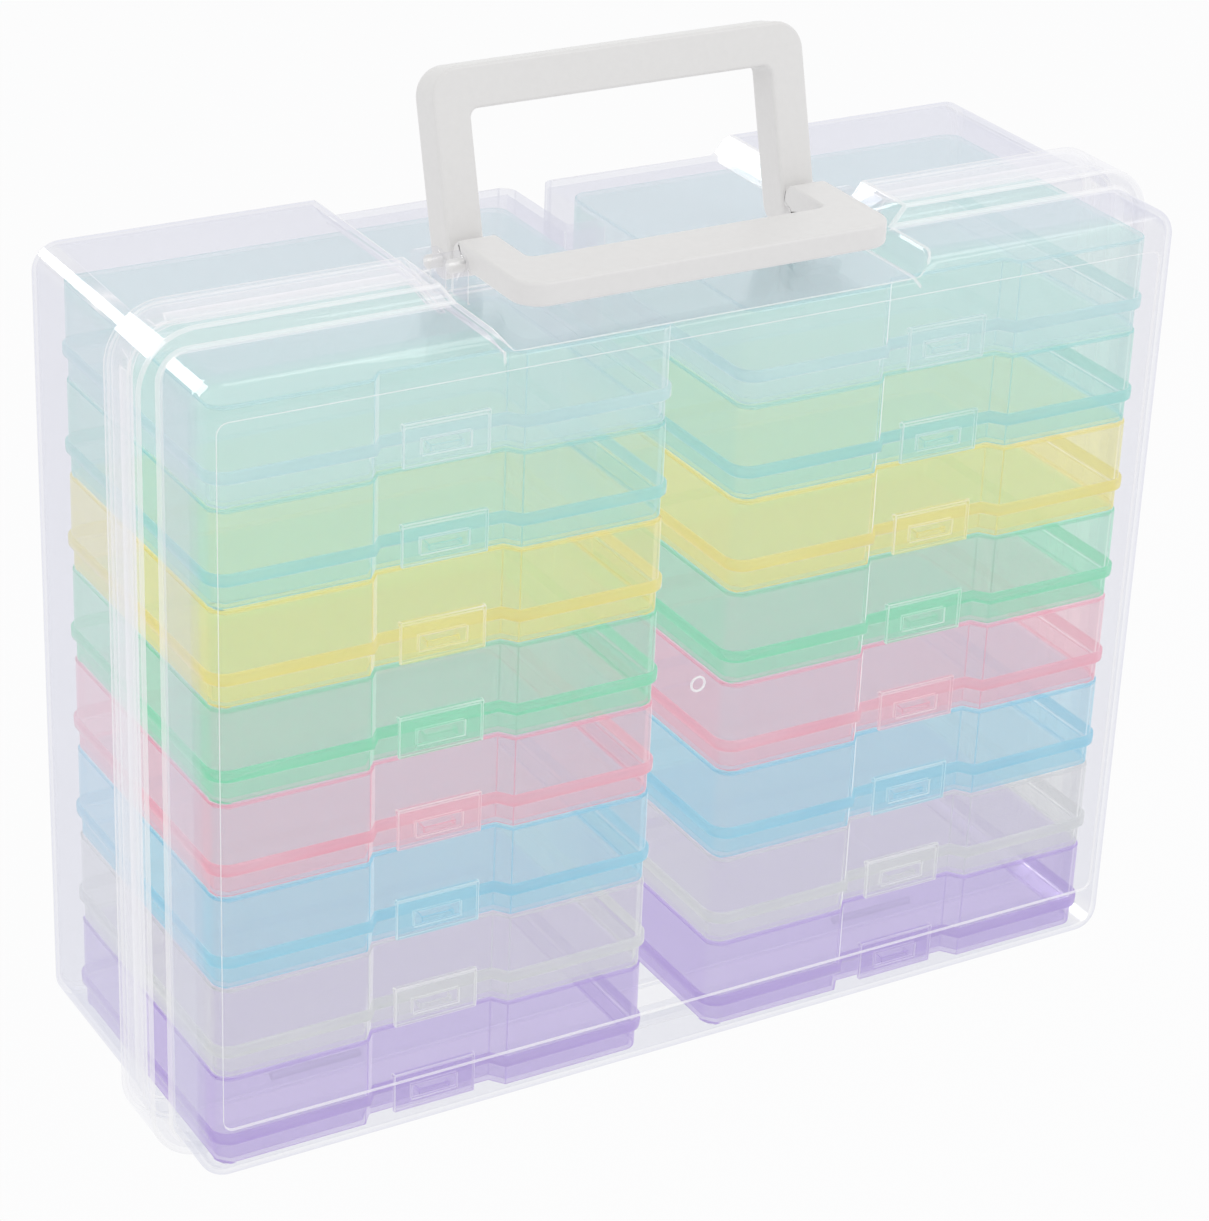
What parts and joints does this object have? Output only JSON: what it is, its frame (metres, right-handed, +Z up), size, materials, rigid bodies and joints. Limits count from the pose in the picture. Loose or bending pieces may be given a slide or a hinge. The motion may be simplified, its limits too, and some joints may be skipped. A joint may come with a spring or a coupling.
{
  "type": "photo keeper case",
  "caption": "Clear carrying case that opens like a suitcase on colour-tinted snap cases stacked in two columns, with two white fold-down handles.",
  "frame": {"origin": "on the ground, centred in the width and in the depth of the closed shells", "axes": "+Z up, +X to the right seen from the front, -Y to the front; the shells stand on their hinge side as carried"},
  "size_m": [0.382, 0.132, 0.3562],
  "materials": {
    "clear_shell": "gloss",
    "white_plastic": "gloss",
    "pin_steel": "satin",
    "ice_plastic": "gloss",
    "aqua_plastic": "gloss",
    "yellow_plastic": "gloss",
    "mint_plastic": "gloss",
    "pink_plastic": "gloss",
    "sky_plastic": "gloss",
    "clear_plastic": "gloss",
    "lavender_plastic": "gloss"
  },
  "bodies": {
    "back_shell": {"back_shell": "clear_shell", "hinge_pin_left": "pin_steel", "hinge_pin_right": "pin_steel"},
    "front_shell": {"front_shell": "clear_shell"},
    "rear_handle": {"rear_handle": "white_plastic"},
    "front_handle": {"front_handle": "white_plastic"},
    "case_left_1": {"case_left_1_cover": "ice_plastic", "case_left_1_base": "ice_plastic"},
    "case_left_1_latch": {"case_left_1_latch": "ice_plastic"},
    "case_left_2": {"case_left_2_cover": "aqua_plastic", "case_left_2_base": "aqua_plastic"},
    "case_left_2_latch": {"case_left_2_latch": "aqua_plastic"},
    "case_left_3": {"case_left_3_cover": "yellow_plastic", "case_left_3_base": "yellow_plastic"},
    "case_left_3_latch": {"case_left_3_latch": "yellow_plastic"},
    "case_left_4": {"case_left_4_cover": "mint_plastic", "case_left_4_base": "mint_plastic"},
    "case_left_4_latch": {"case_left_4_latch": "mint_plastic"},
    "case_left_5": {"case_left_5_cover": "pink_plastic", "case_left_5_base": "pink_plastic"},
    "case_left_5_latch": {"case_left_5_latch": "pink_plastic"},
    "case_left_6": {"case_left_6_cover": "sky_plastic", "case_left_6_base": "sky_plastic"},
    "case_left_6_latch": {"case_left_6_latch": "sky_plastic"},
    "case_left_7": {"case_left_7_cover": "clear_plastic", "case_left_7_base": "clear_plastic"},
    "case_left_7_latch": {"case_left_7_latch": "clear_plastic"},
    "case_left_8": {"case_left_8_cover": "lavender_plastic", "case_left_8_base": "lavender_plastic"},
    "case_left_8_latch": {"case_left_8_latch": "lavender_plastic"},
    "case_right_1": {"case_right_1_cover": "ice_plastic", "case_right_1_base": "ice_plastic"},
    "case_right_1_latch": {"case_right_1_latch": "ice_plastic"},
    "case_right_2": {"case_right_2_cover": "aqua_plastic", "case_right_2_base": "aqua_plastic"},
    "case_right_2_latch": {"case_right_2_latch": "aqua_plastic"},
    "case_right_3": {"case_right_3_cover": "yellow_plastic", "case_right_3_base": "yellow_plastic"},
    "case_right_3_latch": {"case_right_3_latch": "yellow_plastic"},
    "case_right_4": {"case_right_4_cover": "mint_plastic", "case_right_4_base": "mint_plastic"},
    "case_right_4_latch": {"case_right_4_latch": "mint_plastic"},
    "case_right_5": {"case_right_5_cover": "pink_plastic", "case_right_5_base": "pink_plastic"},
    "case_right_5_latch": {"case_right_5_latch": "pink_plastic"},
    "case_right_6": {"case_right_6_cover": "sky_plastic", "case_right_6_base": "sky_plastic"},
    "case_right_6_latch": {"case_right_6_latch": "sky_plastic"},
    "case_right_7": {"case_right_7_cover": "clear_plastic", "case_right_7_base": "clear_plastic"},
    "case_right_7_latch": {"case_right_7_latch": "clear_plastic"},
    "case_right_8": {"case_right_8_cover": "lavender_plastic", "case_right_8_base": "lavender_plastic"},
    "case_right_8_latch": {"case_right_8_latch": "lavender_plastic"}
  },
  "joints": [
    {"name": "shell_hinge", "type": "hinge", "parent": "back_shell", "child": "front_shell", "pos_m": [0, -0.011, 0.0034], "axis": [1, 0, 0], "range_deg": [0, 170]},
    {"name": "rear_handle_hinge", "type": "hinge", "parent": "back_shell", "child": "rear_handle", "pos_m": [0, -0.0046, 0.2952], "axis": [1, 0, 0], "range_deg": [-75, 15]},
    {"name": "front_handle_hinge", "type": "hinge", "parent": "front_shell", "child": "front_handle", "pos_m": [0, -0.0199, 0.299], "axis": [1, 0, 0], "range_deg": [-90, 0]},
    {"name": "case_left_1_slide", "type": "slide", "parent": "back_shell", "child": "case_left_1", "axis": [0, -1, 0], "range_m": [0, 0.036]},
    {"name": "case_left_1_latch_hinge", "type": "hinge", "parent": "case_left_1", "child": "case_left_1_latch", "pos_m": [-0.095, -0.0576, 0.2646], "axis": [1, 0, 0], "range_deg": [-68.5, 0]},
    {"name": "case_left_2_slide", "type": "slide", "parent": "back_shell", "child": "case_left_2", "axis": [0, -1, 0], "range_m": [0, 0.036]},
    {"name": "case_left_2_latch_hinge", "type": "hinge", "parent": "case_left_2", "child": "case_left_2_latch", "pos_m": [-0.095, -0.0576, 0.2302], "axis": [1, 0, 0], "range_deg": [-68.5, 0]},
    {"name": "case_left_3_slide", "type": "slide", "parent": "back_shell", "child": "case_left_3", "axis": [0, -1, 0], "range_m": [0, 0.036]},
    {"name": "case_left_3_latch_hinge", "type": "hinge", "parent": "case_left_3", "child": "case_left_3_latch", "pos_m": [-0.095, -0.0576, 0.1958], "axis": [1, 0, 0], "range_deg": [-68.5, 0]},
    {"name": "case_left_4_slide", "type": "slide", "parent": "back_shell", "child": "case_left_4", "axis": [0, -1, 0], "range_m": [0, 0.036]},
    {"name": "case_left_4_latch_hinge", "type": "hinge", "parent": "case_left_4", "child": "case_left_4_latch", "pos_m": [-0.095, -0.0576, 0.1614], "axis": [1, 0, 0], "range_deg": [-68.5, 0]},
    {"name": "case_left_5_slide", "type": "slide", "parent": "back_shell", "child": "case_left_5", "axis": [0, -1, 0], "range_m": [0, 0.036]},
    {"name": "case_left_5_latch_hinge", "type": "hinge", "parent": "case_left_5", "child": "case_left_5_latch", "pos_m": [-0.095, -0.0576, 0.127], "axis": [1, 0, 0], "range_deg": [-68.5, 0]},
    {"name": "case_left_6_slide", "type": "slide", "parent": "back_shell", "child": "case_left_6", "axis": [0, -1, 0], "range_m": [0, 0.036]},
    {"name": "case_left_6_latch_hinge", "type": "hinge", "parent": "case_left_6", "child": "case_left_6_latch", "pos_m": [-0.095, -0.0576, 0.0926], "axis": [1, 0, 0], "range_deg": [-68.5, 0]},
    {"name": "case_left_7_slide", "type": "slide", "parent": "back_shell", "child": "case_left_7", "axis": [0, -1, 0], "range_m": [0, 0.036]},
    {"name": "case_left_7_latch_hinge", "type": "hinge", "parent": "case_left_7", "child": "case_left_7_latch", "pos_m": [-0.095, -0.0576, 0.0582], "axis": [1, 0, 0], "range_deg": [-68.5, 0]},
    {"name": "case_left_8_slide", "type": "slide", "parent": "back_shell", "child": "case_left_8", "axis": [0, -1, 0], "range_m": [0, 0.036]},
    {"name": "case_left_8_latch_hinge", "type": "hinge", "parent": "case_left_8", "child": "case_left_8_latch", "pos_m": [-0.095, -0.0576, 0.0238], "axis": [1, 0, 0], "range_deg": [-68.5, 0]},
    {"name": "case_right_1_slide", "type": "slide", "parent": "back_shell", "child": "case_right_1", "axis": [0, -1, 0], "range_m": [0, 0.036]},
    {"name": "case_right_1_latch_hinge", "type": "hinge", "parent": "case_right_1", "child": "case_right_1_latch", "pos_m": [0.095, -0.0576, 0.2646], "axis": [1, 0, 0], "range_deg": [-68.5, 0]},
    {"name": "case_right_2_slide", "type": "slide", "parent": "back_shell", "child": "case_right_2", "axis": [0, -1, 0], "range_m": [0, 0.036]},
    {"name": "case_right_2_latch_hinge", "type": "hinge", "parent": "case_right_2", "child": "case_right_2_latch", "pos_m": [0.095, -0.0576, 0.2302], "axis": [1, 0, 0], "range_deg": [-68.5, 0]},
    {"name": "case_right_3_slide", "type": "slide", "parent": "back_shell", "child": "case_right_3", "axis": [0, -1, 0], "range_m": [0, 0.036]},
    {"name": "case_right_3_latch_hinge", "type": "hinge", "parent": "case_right_3", "child": "case_right_3_latch", "pos_m": [0.095, -0.0576, 0.1958], "axis": [1, 0, 0], "range_deg": [-68.5, 0]},
    {"name": "case_right_4_slide", "type": "slide", "parent": "back_shell", "child": "case_right_4", "axis": [0, -1, 0], "range_m": [0, 0.036]},
    {"name": "case_right_4_latch_hinge", "type": "hinge", "parent": "case_right_4", "child": "case_right_4_latch", "pos_m": [0.095, -0.0576, 0.1614], "axis": [1, 0, 0], "range_deg": [-68.5, 0]},
    {"name": "case_right_5_slide", "type": "slide", "parent": "back_shell", "child": "case_right_5", "axis": [0, -1, 0], "range_m": [0, 0.036]},
    {"name": "case_right_5_latch_hinge", "type": "hinge", "parent": "case_right_5", "child": "case_right_5_latch", "pos_m": [0.095, -0.0576, 0.127], "axis": [1, 0, 0], "range_deg": [-68.5, 0]},
    {"name": "case_right_6_slide", "type": "slide", "parent": "back_shell", "child": "case_right_6", "axis": [0, -1, 0], "range_m": [0, 0.036]},
    {"name": "case_right_6_latch_hinge", "type": "hinge", "parent": "case_right_6", "child": "case_right_6_latch", "pos_m": [0.095, -0.0576, 0.0926], "axis": [1, 0, 0], "range_deg": [-68.5, 0]},
    {"name": "case_right_7_slide", "type": "slide", "parent": "back_shell", "child": "case_right_7", "axis": [0, -1, 0], "range_m": [0, 0.036]},
    {"name": "case_right_7_latch_hinge", "type": "hinge", "parent": "case_right_7", "child": "case_right_7_latch", "pos_m": [0.095, -0.0576, 0.0582], "axis": [1, 0, 0], "range_deg": [-68.5, 0]},
    {"name": "case_right_8_slide", "type": "slide", "parent": "back_shell", "child": "case_right_8", "axis": [0, -1, 0], "range_m": [0, 0.036]},
    {"name": "case_right_8_latch_hinge", "type": "hinge", "parent": "case_right_8", "child": "case_right_8_latch", "pos_m": [0.095, -0.0576, 0.0238], "axis": [1, 0, 0], "range_deg": [-68.5, 0]}
  ],
  "couplings": [
    {"joint": "case_left_1_slide", "follows": "shell_hinge", "m_per_rad": 0.012},
    {"joint": "case_left_1_latch_hinge", "follows": "shell_hinge", "ratio": -0.4},
    {"joint": "case_left_2_slide", "follows": "shell_hinge", "m_per_rad": 0.012},
    {"joint": "case_left_2_latch_hinge", "follows": "shell_hinge", "ratio": -0.4},
    {"joint": "case_left_3_slide", "follows": "shell_hinge", "m_per_rad": 0.012},
    {"joint": "case_left_3_latch_hinge", "follows": "shell_hinge", "ratio": -0.4},
    {"joint": "case_left_4_slide", "follows": "shell_hinge", "m_per_rad": 0.012},
    {"joint": "case_left_4_latch_hinge", "follows": "shell_hinge", "ratio": -0.4},
    {"joint": "case_left_5_slide", "follows": "shell_hinge", "m_per_rad": 0.012},
    {"joint": "case_left_5_latch_hinge", "follows": "shell_hinge", "ratio": -0.4},
    {"joint": "case_left_6_slide", "follows": "shell_hinge", "m_per_rad": 0.012},
    {"joint": "case_left_6_latch_hinge", "follows": "shell_hinge", "ratio": -0.4},
    {"joint": "case_left_7_slide", "follows": "shell_hinge", "m_per_rad": 0.012},
    {"joint": "case_left_7_latch_hinge", "follows": "shell_hinge", "ratio": -0.4},
    {"joint": "case_left_8_slide", "follows": "shell_hinge", "m_per_rad": 0.012},
    {"joint": "case_left_8_latch_hinge", "follows": "shell_hinge", "ratio": -0.4},
    {"joint": "case_right_1_slide", "follows": "shell_hinge", "m_per_rad": 0.012},
    {"joint": "case_right_1_latch_hinge", "follows": "shell_hinge", "ratio": -0.4},
    {"joint": "case_right_2_slide", "follows": "shell_hinge", "m_per_rad": 0.012},
    {"joint": "case_right_2_latch_hinge", "follows": "shell_hinge", "ratio": -0.4},
    {"joint": "case_right_3_slide", "follows": "shell_hinge", "m_per_rad": 0.012},
    {"joint": "case_right_3_latch_hinge", "follows": "shell_hinge", "ratio": -0.4},
    {"joint": "case_right_4_slide", "follows": "shell_hinge", "m_per_rad": 0.012},
    {"joint": "case_right_4_latch_hinge", "follows": "shell_hinge", "ratio": -0.4},
    {"joint": "case_right_5_slide", "follows": "shell_hinge", "m_per_rad": 0.012},
    {"joint": "case_right_5_latch_hinge", "follows": "shell_hinge", "ratio": -0.4},
    {"joint": "case_right_6_slide", "follows": "shell_hinge", "m_per_rad": 0.012},
    {"joint": "case_right_6_latch_hinge", "follows": "shell_hinge", "ratio": -0.4},
    {"joint": "case_right_7_slide", "follows": "shell_hinge", "m_per_rad": 0.012},
    {"joint": "case_right_7_latch_hinge", "follows": "shell_hinge", "ratio": -0.4},
    {"joint": "case_right_8_slide", "follows": "shell_hinge", "m_per_rad": 0.012},
    {"joint": "case_right_8_latch_hinge", "follows": "shell_hinge", "ratio": -0.4}
  ]
}
